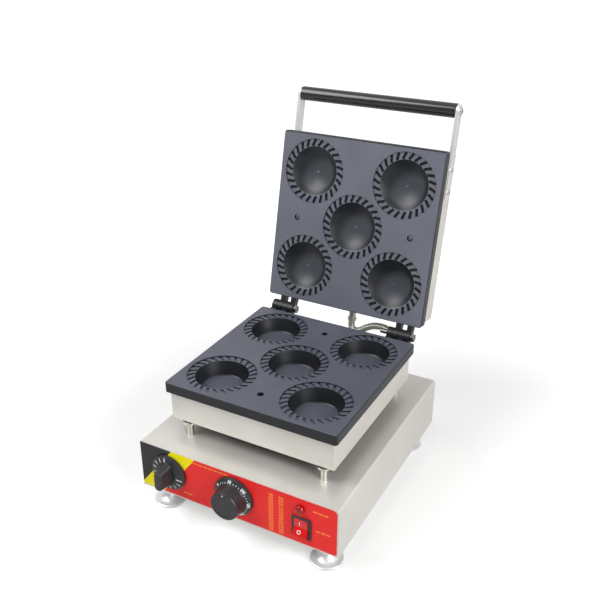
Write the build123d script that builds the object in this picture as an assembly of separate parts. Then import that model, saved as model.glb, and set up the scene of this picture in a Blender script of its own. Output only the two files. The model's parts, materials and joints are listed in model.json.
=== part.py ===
from build123d import *
import os
from math import cos, radians, sin

# An electric pie maker: a steel base box on four bell feet, a lower housing on legs above it with a
# cast plate of five fluted cups, and a hinged lid with the matching plate, a bar handle and a metal hose.
# Millimetres. X is right, Y is back, Z is up. The origin is on the floor under the base box's centre.
# The rest pose has the lid open against its stop.

# Base box
BOX_W = 342.0
BOX_D = 380.0
BOX_H = 85.3
FOOT_H = 35.3
SHEET = 1.2
BOX_BEND = 4.0
VENTS = 9
VENT_W = 5.0
VENT_PITCH = 14.0
BACK_VENT_X = 10.0
FLOOR_VENT_X = -58.5

# Cooking plates
PLATE = 292.0
PLATE_T = 16.4
PLATE_Y = -5.2
PLATE_CORNER = 5.0
PLATE_EDGE = 1.5
PARTING_Z = 211.8
LID_GAP = 0.4
CUP_X = 82.0
CUP_Y = 83.0
RING_R = 54.6
RIM_R = 42.0
RING_DEPTH = 1.8
CUP_DEPTH = 25.0
CUP_FLOOR_R = 34.0
CUP_FILLET = 1.4
CUP_WALL = 4.0
DOME_DEPTH = 14.0
DOME_BOSS_R = 44.0
DOME_BOSS_H = 5.0
FLUTES = 26
FLUTE_W = 4.8
FLUTE_DEPTH = 2.0
FLUTE_LEAN = 28.0
PLATE_SCREW = 104.9
PLATE_SCREW_R = 3.0
PLATE_SCREW_HOLE = 10.5
LOWER_SCREW_SINK = 9.0
LID_SCREW_SINK = 2.8

# Housings round the heaters
HOUSING_W = 281.0
HOUSING_D = 279.0
HOUSING_H = 50.0
HOUSING_BEND = 2.5
COVER_W = 279.0
COVER_FRONT = -145.0
COVER_BACK = 140.8
COVER_H = 56.4
BOARD_H = 14.0
LID_BOARD_H = 30.0

# Hinge
HINGE_Y = 159.4
HINGE_Z = 210.4
OPEN_DEG = 102.5
LUG_R = 10.5
LUG_W = 9.6
LUG_PITCH = 10.1
HINGE_X = 111.5
PIN_R = 4.0
PIN_FIT = 0.06
STOP_R = 13.4

# Legs between the box and the lower housing; the left and right ones are not the same distance out
LEG_X = {-1: -112.0, 1: 121.0}
LEG_Y = (-138.0, 126.0)
LEG_R = 5.2
LEG_COLLAR_R = 10.5
LEG_COLLAR_H = 3.0
LEG_BOLT_R = 2.5
CONDUIT_Y = 30.0
CONDUIT_R = 9.0
CONDUIT_BORE_R = 7.8

# Feet
FOOT_X = 140.7
FOOT_Y = (-164.2, 152.0)
FOOT_R = 25.2
FOOT_NECK_R = 7.4
FOOT_BOLT_R = 4.0
FOOT_NUT = 13.0
FOOT_HEAD_H = 5.3
PAD_R = 23.2
PAD_H = 2.0

# Handle
ARM_T = 4.6
ARM_W = 21.0
ARM_Z = 254.0
ARM_TAIL_Y = -72.0
ARM_SCREW_Y = (-120.0, -84.0)
GRIP_Y = -214.0
GRIP_R = 11.8
GRIP_ROD_R = 6.0

# Front panel
OVERLAY_T = 0.4
OVERLAY_RIGHT = 168.3
OVERLAY_Z = (39.3, 119.1)
TIMER_X, TIMER_Z = -117.5, 80.8
THERMO_X, THERMO_Z = -0.2, 81.0
LAMP_X, LAMP_Z = 111.1, 101.9
SWITCH_X, SWITCH_Z = 112.6, 68.8
SHAFT_R = 3.0
BUSH_R = 5.0
TIMER_SKIRT_R = 30.5
THERMO_SKIRT_R = 33.0
THERMO_CAP_R = 23.2
KNOB_GAP = 0.8
TIMER_REACH = 31.0
THERMO_REACH = 29.5
LAMP_R = 7.0
BEZEL_W, BEZEL_H, BEZEL_T = 31.0, 36.4, 2.5
CUTOUT_W, CUTOUT_H = 27.0, 32.4
ROCKER_W, ROCKER_H = 21.6, 27.0
ROCKER_TILT = 11.0
ROCKER_PIVOT = 2.2

# Heaters
HEATER_R = 4.0
HEATER_RING = 58.0
HEATER_PIN = 11.0
HEATER_TAIL = 102.0
LEAD_R = 1.2
LEAD_Z = 168.0
BULB_R = 3.0

# Hose from the lid to the base, and the cord gland
HOSE_R = 6.2
HOSE_BORE_R = 4.2
LID_GLAND_X = 3.0
LID_GLAND_Z = 257.0
LID_NIPPLE = 27.5
BASE_GLAND = (105.0, 168.0)
BASE_NIPPLE = 13.0
CORD_GLAND_X, CORD_GLAND_Z = -110.0, 66.0
CORD_BORE_R = 4.5
CORD_THREAD_R = 8.0
COVER_SCREW_R = 1.6

# Worked out
BOX_TOP = FOOT_H + BOX_H
FRONT_Y = -BOX_D / 2
BACK_Y = BOX_D / 2
PLATE_BOTTOM = PARTING_Z - PLATE_T
HOUSING_BOTTOM = PLATE_BOTTOM - HOUSING_H
LID_FACE_Z = PARTING_Z + LID_GAP
LID_BACK_Z = LID_FACE_Z + PLATE_T
COVER_TOP = LID_BACK_Z + COVER_H
PLATE_REAR = PLATE_Y + PLATE / 2
BULB = (26.0, 70.0, PLATE_BOTTOM - BULB_R)
PANEL_Y = FRONT_Y - OVERLAY_T
INNER_Y = FRONT_Y + SHEET
TERMINAL_Z = FOOT_H + SHEET + 6
HINGE = Axis((0, HINGE_Y, HINGE_Z), (1, 0, 0))
CUPS = [(0, 0)] + [(sx * CUP_X, sy * CUP_Y) for sx in (-1, 1) for sy in (-1, 1)]
CORNERS = [(sx, k) for sx in (-1, 1) for k in (0, 1)]
COVER_SCREWS = [(x, z) for x in (-158, 158) for z in (50, 104)]


def block(x0, x1, y0, y1, z0, z1):
    """A box from its lowest corner to its highest."""
    return Pos((x0 + x1) / 2, (y0 + y1) / 2, (z0 + z1) / 2) * Box(x1 - x0, y1 - y0, z1 - z0)


def rod_x(x0, x1, y, z, r):
    """A round bar along X."""
    return Pos((x0 + x1) / 2, y, z) * Rot(0, 90, 0) * Cylinder(r, x1 - x0)


def rod_y(y0, y1, x, z, r):
    """A round bar along Y."""
    return Pos(x, (y0 + y1) / 2, z) * Rot(90, 0, 0) * Cylinder(r, y1 - y0)


def rod_z(z0, z1, x, y, r):
    """A round bar along Z."""
    return Pos(x, y, (z0 + z1) / 2) * Cylinder(r, z1 - z0)


def hex_z(z0, z1, x, y, across):
    """A hexagonal bar along Z, by its width across the flats."""
    flat = RegularPolygon(across / 2, 6, major_radius=False)
    return Pos(x, y, z0) * extrude(flat, z1 - z0)


def hex_x(x0, x1, y, z, across):
    """A hexagonal bar along X."""
    return Pos(x0, y, z) * Rot(0, 90, 0) * hex_z(0, x1 - x0, 0, 0, across)


def hex_y(y0, y1, x, z, across):
    """A hexagonal bar along Y."""
    return Pos(x, y0, z) * Rot(-90, 0, 0) * hex_z(0, y1 - y0, 0, 0, across)


def turned(points, x, y, z, axis="z"):
    """A solid turned from (radius, height) points, standing at x, y, z; axis -y points out of the panel."""
    profile = Plane.XZ * make_face(Polyline(*points, close=True))
    solid = revolve(profile, Axis.Z)
    if axis == "-y":
        solid = Rot(90, 0, 0) * solid
    return Pos(x, y, z) * solid


def slab(width, depth, height, corner, x=0, y=0, z=0):
    """A flat slab with rounded upright corners, its underside at z."""
    return Pos(x, y, z) * extrude(RectangleRounded(width, depth, corner), height)


def opened(shape):
    """The lid is drawn closed, then turned back on its hinge to the rest pose."""
    return shape.rotate(HINGE, -OPEN_DEG)


def tube(points, radii, r, bore=0):
    """A tube along straight runs joined by tangent arcs."""
    route = FilletPolyline(*points, radius=radii)
    ring = Plane(route @ 0, z_dir=route % 0) * Circle(r)
    if bore:
        ring -= Plane(route @ 0, z_dir=route % 0) * Circle(bore)
    return sweep(ring, path=route)


def switch_cutout():
    """The opening in the tray and the film for the switch."""
    return Pos(SWITCH_X, FRONT_Y, SWITCH_Z) * Box(CUTOUT_W, 8, CUTOUT_H)


def write(name, shape):
    """One node, one file."""
    export_step(shape, f"parts/{name}.step")


# ---------------------------------------------------------------- base box


def base_tray():
    """Front, floor and back in one bent sheet."""
    width = BOX_W - 2 * SHEET
    outer = block(-width / 2, width / 2, FRONT_Y, BACK_Y, FOOT_H, BOX_TOP - SHEET)
    low = outer.edges().filter_by(Axis.X).group_by(Axis.Z)[0]
    outer = fillet(low, 2 * SHEET)
    inner = block(-width, width, FRONT_Y + SHEET, BACK_Y - SHEET, FOOT_H + SHEET, BOX_TOP)
    inner = fillet(inner.edges().filter_by(Axis.X).group_by(Axis.Z)[0], SHEET)
    cut = [rod_y(FRONT_Y - 1, INNER_Y + 1, x, z, r) for x, z, r in (
        (TIMER_X, TIMER_Z, BUSH_R + 0.3), (THERMO_X, THERMO_Z, BUSH_R + 0.3), (LAMP_X, LAMP_Z, 5.3))]
    cut.append(switch_cutout())
    cut.append(rod_y(BACK_Y - 3, BACK_Y + 1, CORD_GLAND_X, CORD_GLAND_Z, CORD_THREAD_R))
    cut += [rod_y(BACK_Y - 3, BACK_Y + 1, x, z, COVER_SCREW_R) for x, z in COVER_SCREWS]
    cut += [rod_z(FOOT_H - 1, FOOT_H + 3, sx * FOOT_X, FOOT_Y[k], FOOT_BOLT_R) for sx, k in CORNERS]
    for i in range(VENTS):
        x = BACK_VENT_X + VENT_PITCH * i
        cut.append(block(x, x + VENT_W, BACK_Y - 3, BACK_Y + 1, 58, 96))
        x = FLOOR_VENT_X + VENT_PITCH * i
        cut.append(block(x, x + VENT_W, -40, 40, FOOT_H - 1, FOOT_H + 3))
    return outer - inner - cut


def base_cover():
    """Top and both sides in one bent sheet."""
    outer = block(-BOX_W / 2, BOX_W / 2, FRONT_Y, BACK_Y, FOOT_H, BOX_TOP)
    outer = fillet(outer.edges().filter_by(Axis.Y).group_by(Axis.Z)[-1], BOX_BEND)
    inside_x = BOX_W / 2 - SHEET
    inner = block(-inside_x, inside_x, FRONT_Y - 1, BACK_Y + 1, FOOT_H - 1, BOX_TOP - SHEET)
    cut = [rod_z(BOX_TOP - 3, BOX_TOP + 1, LEG_X[sx], LEG_Y[k], LEG_BOLT_R) for sx, k in CORNERS]
    cut.append(rod_z(BOX_TOP - 3, BOX_TOP + 1, *BASE_GLAND, 6.2))
    cut.append(rod_z(BOX_TOP - 3, BOX_TOP + 1, 0, CONDUIT_Y, CONDUIT_R + 0.2))
    shell = outer - inner
    inside_y = BACK_Y - SHEET
    for x, z in COVER_SCREWS:
        side = x / abs(x)
        x0, x1 = sorted((side * inside_x, side * (inside_x - 18)))
        shell += block(x0, x1, inside_y - SHEET, inside_y, z - 8, z + 8)
        cut.append(rod_y(inside_y - 3, inside_y + 1, x, z, COVER_SCREW_R))
    return shell - cut


def panel_overlay():
    """The coloured film on the front, with holes for the controls."""
    low, high = OVERLAY_Z
    film = block(-BOX_W / 2, OVERLAY_RIGHT, PANEL_Y, FRONT_Y, low, high)
    right = film.edges().filter_by(Axis.Y).group_by(Axis.X)[-1]
    film = fillet(right.group_by(Axis.Z)[-1], 7)
    film = fillet(film.edges().filter_by(Axis.Y).group_by(Axis.X)[-1].group_by(Axis.Z)[0], 4)
    for x, z, r in ((TIMER_X, TIMER_Z, 5.6), (THERMO_X, THERMO_Z, 5.6), (LAMP_X, LAMP_Z, 5.3)):
        film -= rod_y(PANEL_Y - 1, FRONT_Y + 1, x, z, r)
    return film - switch_cutout()


def foot():
    """A chromed bell foot: a wide flange that sweeps up into a neck, with a socket for its bolt's head."""
    neck, rim = FOOT_NECK_R, FOOT_R
    socket_r, socket_z = FOOT_NUT / 2 + 1.8, PAD_H + FOOT_HEAD_H + 0.2
    with BuildPart() as bell:
        with BuildSketch(Plane.XZ):
            with BuildLine():
                Polyline((neck, FOOT_H), (FOOT_BOLT_R, FOOT_H), (FOOT_BOLT_R, socket_z), (socket_r, socket_z),
                         (socket_r, PAD_H), (rim - 1, PAD_H), (rim, PAD_H + 1), (rim, PAD_H + 1.9),
                         (rim - 0.9, PAD_H + 2.6), (rim - 3.6, PAD_H + 2.9))
                Spline((rim - 3.6, PAD_H + 2.9), (neck + 7.2, PAD_H + 5.4), (neck + 1.8, PAD_H + 11),
                       (neck, PAD_H + 19), tangents=((-1, 0.08), (0, 1)))
                Line((neck, PAD_H + 19), (neck, FOOT_H))
            make_face()
        revolve(axis=Axis.Z)
    return bell.part


def foot_bolts():
    """A bolt up through each foot and the tray, with its nut inside."""
    made = []
    seat = FOOT_H + SHEET
    for sx, k in CORNERS:
        x, y = sx * FOOT_X, FOOT_Y[k]
        made.append(hex_z(PAD_H, PAD_H + FOOT_HEAD_H, x, y, FOOT_NUT)
                    + rod_z(PAD_H, seat + 9, x, y, FOOT_BOLT_R))
        made.append(hex_z(seat, seat + 6, x, y, FOOT_NUT) - rod_z(seat - 1, seat + 7, x, y, FOOT_BOLT_R))
    return Compound(children=made)


def foot_pads():
    """A round pad under each foot."""
    pads = [rod_z(0, PAD_H, sx * FOOT_X, FOOT_Y[k], PAD_R) for sx, k in CORNERS]
    return Compound(children=[fillet(pad.edges().group_by(Axis.Z)[0], 1) for pad in pads])


def cover_screws():
    """Screws through the back of the tray into tabs on the cover."""
    made = []
    for x, z in COVER_SCREWS:
        head = turned([(0, 0), (3.6, 0), (3.2, 1.6), (1.6, 2.2), (0, 2.2)], 0, 0, 0)
        head = Pos(x, BACK_Y, z) * Rot(-90, 0, 0) * head
        made.append(head + rod_y(BACK_Y - 7, BACK_Y, x, z, COVER_SCREW_R))
    return Compound(children=made)


# ---------------------------------------------------------------- controls


def timer_body():
    """Clockwork behind the panel, with a threaded bush through it."""
    case = block(TIMER_X - 24, TIMER_X + 24, INNER_Y, INNER_Y + 34, TIMER_Z - 24, TIMER_Z + 24)
    case = fillet(case.edges().filter_by(Axis.Y), 5)
    bush = rod_y(PANEL_Y - 4, INNER_Y, TIMER_X, TIMER_Z, BUSH_R)
    tags = [block(x - 3, x + 3, INNER_Y + 34, INNER_Y + 42, TIMER_Z - 0.4, TIMER_Z + 0.4)
            for x in (TIMER_X - 12, TIMER_X + 12)]
    bore = rod_y(PANEL_Y - 5, INNER_Y + 12, TIMER_X, TIMER_Z, SHAFT_R + PIN_FIT)
    return (case + bush + tags) - bore


def thermostat_body():
    """The thermostat's can on its bracket, with a threaded bush through the panel."""
    bracket = block(THERMO_X - 26, THERMO_X + 26, INNER_Y, INNER_Y + 1.5, THERMO_Z - 14, THERMO_Z + 14)
    can = rod_y(INNER_Y + 1.5, INNER_Y + 28, THERMO_X, THERMO_Z, 20)
    base = block(THERMO_X - 17, THERMO_X + 17, INNER_Y + 28, INNER_Y + 40, THERMO_Z - 13, THERMO_Z + 13)
    bush = rod_y(PANEL_Y - 4, INNER_Y, THERMO_X, THERMO_Z, BUSH_R)
    bore = rod_y(PANEL_Y - 5, INNER_Y + 12, THERMO_X, THERMO_Z, SHAFT_R + PIN_FIT)
    return (bracket + can + base + bush) - bore


def panel_nut(x, z):
    """The nut that holds a bush in the panel, under its knob."""
    return hex_y(PANEL_Y - 3, PANEL_Y, x, z, 14) - rod_y(PANEL_Y - 4, PANEL_Y + 1, x, z, BUSH_R)


def control_shaft(x, z):
    """A shaft from the switchgear through the bush into the knob."""
    return rod_y(PANEL_Y - 16, INNER_Y + 11, x, z, SHAFT_R)


def knob_socket():
    """The hollow in the back of a knob for the nut, and the hole for the shaft."""
    return rod_z(0, 5.6, 0, 0, 11) + rod_z(0, 17 - KNOB_GAP, 0, 0, SHAFT_R)


def on_panel(shape, x, z):
    """Places a shape drawn upright so that its +Z points out of the panel."""
    return Pos(x, PANEL_Y - KNOB_GAP, z) * Rot(90, 0, 0) * shape


def timer_knob():
    """A round skirt with a tall bar grip."""
    rim = TIMER_SKIRT_R
    skirt = turned([(0, 0), (rim, 0), (rim, 2.6), (rim - 1.2, 3.6), (16, 6.6), (0, 6.6)], 0, 0, 0)
    top = TIMER_REACH - KNOB_GAP
    low = Pos(0, 0, 5) * RectangleRounded(20, 42, 9.5)
    high = Pos(0, 0, top) * RectangleRounded(13, 31, 6)
    grip = loft([low, high])
    grip = fillet(grip.edges().group_by(Axis.Z)[-1], 2)
    return on_panel(skirt + grip - knob_socket(), TIMER_X, TIMER_Z)


def thermostat_knob():
    """A conical scale skirt with a round cap, its face dished round a small button."""
    top = THERMO_REACH - KNOB_GAP
    rim = THERMO_SKIRT_R
    cap = THERMO_CAP_R
    body = turned([(0, 0), (rim, 0), (rim, 2.8), (rim - 0.8, 3.6), (cap + 3, 8), (cap + 2, 8),
                   (cap + 1.4, 9.2), (cap, top - 2), (cap - 0.6, top - 0.6), (cap - 2, top),
                   (cap - 5, top), (cap - 6, top - 0.6), (6.4, top - 0.6), (5.9, top - 0.1), (0, top - 0.1)],
                  0, 0, 0)
    return on_panel(body - knob_socket(), THERMO_X, THERMO_Z)


def pilot_lamp_lens():
    """The red lens in front of the panel."""
    lens = turned([(0, 0), (LAMP_R, 0), (LAMP_R, 4.4), (LAMP_R - 0.9, 6.2), (LAMP_R - 3, 7.4), (0, 7.8)],
                  LAMP_X, PANEL_Y, LAMP_Z, "-y")
    return lens


def pilot_lamp_body():
    """The lamp's barrel through the panel, with its spring nut and tags."""
    barrel = rod_y(PANEL_Y, INNER_Y + 24, LAMP_X, LAMP_Z, 5.2)
    nut = hex_y(INNER_Y, INNER_Y + 3, LAMP_X, LAMP_Z, 14)
    return barrel + nut


def switch_housing():
    """The rocker switch's case, with a bezel in front of the panel and an open well for the rocker."""
    bezel = block(-BEZEL_W / 2, BEZEL_W / 2, -BEZEL_T, 0, -BEZEL_H / 2, BEZEL_H / 2)
    bezel = fillet(bezel.edges().filter_by(Axis.Y), 2)
    bezel = chamfer(bezel.faces().sort_by(Axis.Y)[0].edges(), 0.8)
    case = block(-CUTOUT_W / 2 + 0.1, CUTOUT_W / 2 - 0.1, 0, 27, -CUTOUT_H / 2 + 0.1, CUTOUT_H / 2 - 0.1)
    tags = [block(x - 3, x + 3, 27, 35, -0.4, 0.4) for x in (-7, 7)]
    well_x, well_z = ROCKER_W / 2 + 0.6, ROCKER_H / 2 + 1.6
    well = block(-well_x, well_x, -BEZEL_T - 1, 16, -well_z, well_z)
    pivot = rod_x(-12.2, 12.2, ROCKER_PIVOT, 0, 1.5 + PIN_FIT)
    return Pos(SWITCH_X, PANEL_Y, SWITCH_Z) * (bezel + case + tags - well - pivot)


def switch_rocker():
    """The rocker on its pivot pins, drawn level, then tipped with its lower end out."""
    half = ROCKER_H / 2
    outline = Polyline((-6.4, half), (-3.0, 0), (-6.4, -half), (3, -half), (9, -4), (9, 4), (3, half),
                       close=True)
    face = Plane.YZ * make_face(outline)
    paddle = Pos(-ROCKER_W / 2, 0, 0) * extrude(face, ROCKER_W)
    paddle = fillet(paddle.edges().filter_by(Axis.X).group_by(Axis.Y)[0], 1)
    pins = rod_x(-12, 12, ROCKER_PIVOT, 0, 1.5)
    tipped = (paddle + pins).rotate(Axis((0, ROCKER_PIVOT, 0), (1, 0, 0)), -ROCKER_TILT)
    return Pos(SWITCH_X, PANEL_Y, SWITCH_Z) * tipped


def terminal_block():
    """The mains terminals on the tray's floor."""
    floor = FOOT_H + SHEET
    body = block(-140, -80, 120, 142, floor, floor + 16)
    wells = [rod_z(floor + 9, floor + 17, -130 + 10 * i, 131, 3) for i in range(5)]
    ports = [rod_y(119, 143, -130 + 10 * i, TERMINAL_Z, 2) for i in range(5)]
    return body - wells - ports


def cord_gland():
    """The gland in the back that a mains lead enters by, empty."""
    flange = hex_y(BACK_Y, BACK_Y + 6, CORD_GLAND_X, CORD_GLAND_Z, 22)
    dome = rod_y(BACK_Y + 6, BACK_Y + 18, CORD_GLAND_X, CORD_GLAND_Z, 9.5)
    dome = fillet(dome.edges().group_by(Axis.Y)[-1], 2.5)
    thread = rod_y(BACK_Y - 10, BACK_Y, CORD_GLAND_X, CORD_GLAND_Z, CORD_THREAD_R)
    bore = rod_y(BACK_Y - 11, BACK_Y + 19, CORD_GLAND_X, CORD_GLAND_Z, CORD_BORE_R)
    return flange + dome + thread - bore


def cord_gland_nut():
    """The lock nut inside the back."""
    inside = BACK_Y - SHEET
    bore = rod_y(inside - 6, inside + 1, CORD_GLAND_X, CORD_GLAND_Z, CORD_THREAD_R)
    return hex_y(inside - 5, inside, CORD_GLAND_X, CORD_GLAND_Z, 22) - bore


# ---------------------------------------------------------------- legs and lower housing


def support_legs():
    """Four spacers between the box and the housing, each with a collar at its top."""
    made = []
    for sx, k in CORNERS:
        x, y = LEG_X[sx], LEG_Y[k]
        collar = rod_z(HOUSING_BOTTOM - LEG_COLLAR_H, HOUSING_BOTTOM, x, y, LEG_COLLAR_R)
        collar = fillet(collar.edges().group_by(Axis.Z)[0], 0.8)
        bore = rod_z(BOX_TOP - 1, HOUSING_BOTTOM + 1, x, y, LEG_BOLT_R)
        made.append(rod_z(BOX_TOP, HOUSING_BOTTOM, x, y, LEG_R) + collar - bore)
    return Compound(children=made)


def support_bolts():
    """A bolt up through each spacer, with its head in the box and its nut in the housing."""
    made = []
    low, high = BOX_TOP - SHEET, HOUSING_BOTTOM + SHEET
    for sx, k in CORNERS:
        x, y = LEG_X[sx], LEG_Y[k]
        made.append(rod_z(low, high + 4.6, x, y, LEG_BOLT_R) + hex_z(low - 3.5, low, x, y, 8))
        made.append(hex_z(high, high + 4, x, y, 8) - rod_z(high - 1, high + 5, x, y, LEG_BOLT_R))
    return Compound(children=made)


def lead_conduit():
    """A flanged sleeve that the heater leads and the capillary pass through."""
    sleeve = rod_z(BOX_TOP - 5, HOUSING_BOTTOM + SHEET + 5, 0, CONDUIT_Y, CONDUIT_R)
    flange = rod_z(BOX_TOP, BOX_TOP + 1.5, 0, CONDUIT_Y, CONDUIT_R + 5)
    return sleeve + flange - rod_z(BOX_TOP - 6, HOUSING_BOTTOM + 8, 0, CONDUIT_Y, CONDUIT_BORE_R)


def lower_housing():
    """An open steel pan under the lower plate."""
    outer = slab(HOUSING_W, HOUSING_D, HOUSING_H, HOUSING_BEND, 0, PLATE_Y, HOUSING_BOTTOM)
    outer = fillet(outer.faces().sort_by(Axis.Z)[0].edges(), HOUSING_BEND)
    inner = slab(HOUSING_W - 2 * SHEET, HOUSING_D - 2 * SHEET, HOUSING_H, HOUSING_BEND - SHEET, 0, PLATE_Y,
                 HOUSING_BOTTOM + SHEET)
    holes = [rod_z(HOUSING_BOTTOM - 1, HOUSING_BOTTOM + 3, LEG_X[sx], LEG_Y[k], LEG_BOLT_R)
             for sx, k in CORNERS]
    holes.append(rod_z(HOUSING_BOTTOM - 1, HOUSING_BOTTOM + 3, 0, CONDUIT_Y, CONDUIT_R + 0.2))
    return outer - inner - holes


def lower_insulation():
    """A mineral-wool board on the floor of the lower housing."""
    z0 = HOUSING_BOTTOM + SHEET
    z1 = z0 + BOARD_H
    x1, y1 = HOUSING_W / 2 - 3.5, HOUSING_D / 2 - 3.5
    holes = [rod_z(z0 - 1, z1 + 1, 0, CONDUIT_Y, 12)]
    holes += [rod_z(z0 - 1, z1 + 1, 0, PLATE_Y + s * PLATE_SCREW, 3.2) for s in (-1, 1)]
    holes += [rod_z(z0 - 1, z1 + 1, LEG_X[sx], LEG_Y[k], 6) for sx, k in CORNERS]
    return block(-x1, x1, PLATE_Y - y1, PLATE_Y + y1, z0, z1) - holes


def upper_insulation():
    """A thicker board under the lid's cover, clear of the arm screws."""
    x1 = COVER_W / 2 - 8.5
    top = COVER_TOP - SHEET
    return opened(block(-x1, x1, COVER_FRONT + 4, COVER_BACK - 12, top - LID_BOARD_H, top))


# ---------------------------------------------------------------- cooking plates


def flutes(x, y, z_top, up):
    """Slanted grooves round one cup, cut into its sunken ring; up is 1 when the ring faces up."""
    middle = (RING_R + RIM_R) / 2
    long = (RING_R - RIM_R) / cos(radians(FLUTE_LEAN)) - 1.2
    deep = RING_DEPTH + FLUTE_DEPTH
    groove = Pos(middle, 0, -up * deep / 2) * Rot(0, 0, FLUTE_LEAN) * Box(long, FLUTE_W, deep)
    return [Pos(x, y, z_top) * Rot(0, 0, 360 * k / FLUTES) * groove for k in range(FLUTES)]


def lug(x, low, high, side):
    """A hinge ear: a neck from the back of a plate to a round end on the hinge line, drawn with the lid closed.

    The neck is low to high at the plate. At its far end it is below (side -1) or above (side 1) the hinge line.
    """
    under, over = sorted((HINGE_Z, HINGE_Z + side * 0.98 * LUG_R))
    root = PLATE_REAR - 2
    neck = Polyline((root, low), (HINGE_Y, under), (HINGE_Y, over), (root, high), close=True)
    outline = Plane.YZ * (make_face(neck) + Pos(HINGE_Y, HINGE_Z) * Circle(LUG_R))
    return Pos(x - LUG_W / 2, 0, 0) * extrude(outline, LUG_W)


def lug_places(first):
    """Every other place across both hinges, starting at the first or the second."""
    return [side * HINGE_X + (k - 1.5) * LUG_PITCH for side in (-1, 1) for k in (first, first + 2)]


def lower_plate():
    """The cast plate with five deep fluted cups and its hinge ears."""
    body = slab(PLATE, PLATE, PLATE_T, PLATE_CORNER, 0, PLATE_Y, PLATE_BOTTOM)
    body = fillet(body.faces().sort_by(Axis.Z)[-1].edges(), PLATE_EDGE)
    for x in lug_places(0):
        body += lug(x, PLATE_BOTTOM + 1, PARTING_Z - 2, -1)
    for side in (-1, 1):
        x = side * HINGE_X - LUG_PITCH / 2
        body += block(x - LUG_PITCH, x + LUG_PITCH, PLATE_REAR - 1, HINGE_Y - STOP_R + 0.6,
                      PLATE_BOTTOM + 1, HINGE_Z - 4)
    cup_low = PARTING_Z - CUP_DEPTH - CUP_WALL
    for x, y in CUPS:
        boss = turned([(0, PLATE_BOTTOM), (RIM_R + CUP_WALL, PLATE_BOTTOM),
                       (CUP_FLOOR_R + CUP_WALL, cup_low), (0, cup_low)], x, y + PLATE_Y, 0)
        body += boss
    tools = []
    for x, y in CUPS:
        hollow = turned([(0, 1), (RING_R, 1), (RING_R, -RING_DEPTH), (RIM_R, -RING_DEPTH),
                         (CUP_FLOOR_R + CUP_FILLET, -CUP_DEPTH + CUP_FILLET), (CUP_FLOOR_R, -CUP_DEPTH),
                         (0, -CUP_DEPTH)],
                        x, y + PLATE_Y, PARTING_Z)
        tools.append(hollow)
        tools += flutes(x, y + PLATE_Y, PARTING_Z, 1)
    for s in (-1, 1):
        y = PLATE_Y + s * PLATE_SCREW
        tools.append(rod_z(PLATE_BOTTOM - 1, PARTING_Z + 1, 0, y, PLATE_SCREW_R + 0.1))
        tools.append(rod_z(PARTING_Z - LOWER_SCREW_SINK, PARTING_Z + 1, 0, y, PLATE_SCREW_HOLE / 2))
    tools.append(rod_x(-PLATE / 2, PLATE / 2, HINGE_Y, HINGE_Z, PIN_R + 0.01))
    return body - tools


def lower_plate_screws():
    """Socket screws sunk in the lower plate, down to the housing."""
    made = []
    seat = PARTING_Z - LOWER_SCREW_SINK
    for s in (-1, 1):
        y = PLATE_Y + s * PLATE_SCREW
        head = rod_z(seat, seat + 5, 0, y, 4.9) - hex_z(seat + 2.5, seat + 6, 0, y, 5)
        made.append(head + rod_z(HOUSING_BOTTOM + SHEET, seat, 0, y, PLATE_SCREW_R))
    return Compound(children=made)


def upper_plate():
    """The lid's cast plate with five shallow fluted domes and its hinge ears."""
    body = slab(PLATE, PLATE, PLATE_T, PLATE_CORNER, 0, PLATE_Y, LID_FACE_Z)
    body = fillet(body.faces().sort_by(Axis.Z)[0].edges(), PLATE_EDGE)
    for x in lug_places(1):
        body += lug(x, LID_FACE_Z + 2, LID_BACK_Z - 1, 1)
    for side in (-1, 1):
        body += stop_nose(side * HINGE_X - LUG_PITCH / 2)
    for x, y in CUPS:
        body += rod_z(LID_BACK_Z - 1, LID_BACK_Z + DOME_BOSS_H, x, y + PLATE_Y, DOME_BOSS_R)
    ball = (RIM_R ** 2 + DOME_DEPTH ** 2) / (2 * DOME_DEPTH)
    sunk = LID_FACE_Z + RING_DEPTH
    tools = []
    for x, y in CUPS:
        tools.append(rod_z(LID_FACE_Z - 1, sunk, x, y + PLATE_Y, RING_R))
        cap = Pos(x, y + PLATE_Y, sunk + DOME_DEPTH - ball) * Sphere(ball)
        tools.append(cap & rod_z(sunk, sunk + DOME_DEPTH + 1, x, y + PLATE_Y, RIM_R))
        tools += flutes(x, y + PLATE_Y, LID_FACE_Z, -1)
    for s in (-1, 1):
        x = s * PLATE_SCREW
        tools.append(rod_z(LID_FACE_Z - 1, LID_BACK_Z + 1, x, PLATE_Y, PLATE_SCREW_R + 0.05))
        tools.append(rod_z(LID_FACE_Z - 1, LID_FACE_Z + LID_SCREW_SINK, x, PLATE_Y, PLATE_SCREW_HOLE / 2))
    tools.append(rod_x(-PLATE / 2, PLATE / 2, HINGE_Y, HINGE_Z, PIN_R + PIN_FIT))
    return opened(body - tools)


def stop_nose(x):
    """The heel on a lid ear that meets the lower plate's web when the lid is open."""
    reach = radians(-56)
    y, z = STOP_R * cos(reach), STOP_R * sin(reach)
    wedge = make_face(Polyline((0, 0), (LUG_R * cos(reach + 0.7), LUG_R * sin(reach + 0.7)),
                               (STOP_R * cos(reach + 0.3), STOP_R * sin(reach + 0.3)), (y, z), close=True))
    side = Plane.YZ * (Pos(HINGE_Y, HINGE_Z) * wedge)
    return Pos(x - LUG_W / 2, 0, 0) * extrude(side, LUG_W)


def upper_plate_screws():
    """Round-headed screws that hold the lid's plate, their heads sunk level with its face."""
    made = []
    seat = LID_FACE_Z + LID_SCREW_SINK
    for s in (-1, 1):
        x = s * PLATE_SCREW
        head = turned([(0, 0), (4.6, 0), (4.2, -1.4), (2.6, -2.4), (0, -2.7)], x, PLATE_Y, seat)
        made.append(head + rod_z(seat, LID_BACK_Z + 12, x, PLATE_Y, PLATE_SCREW_R))
    return opened(Compound(children=made))


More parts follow.
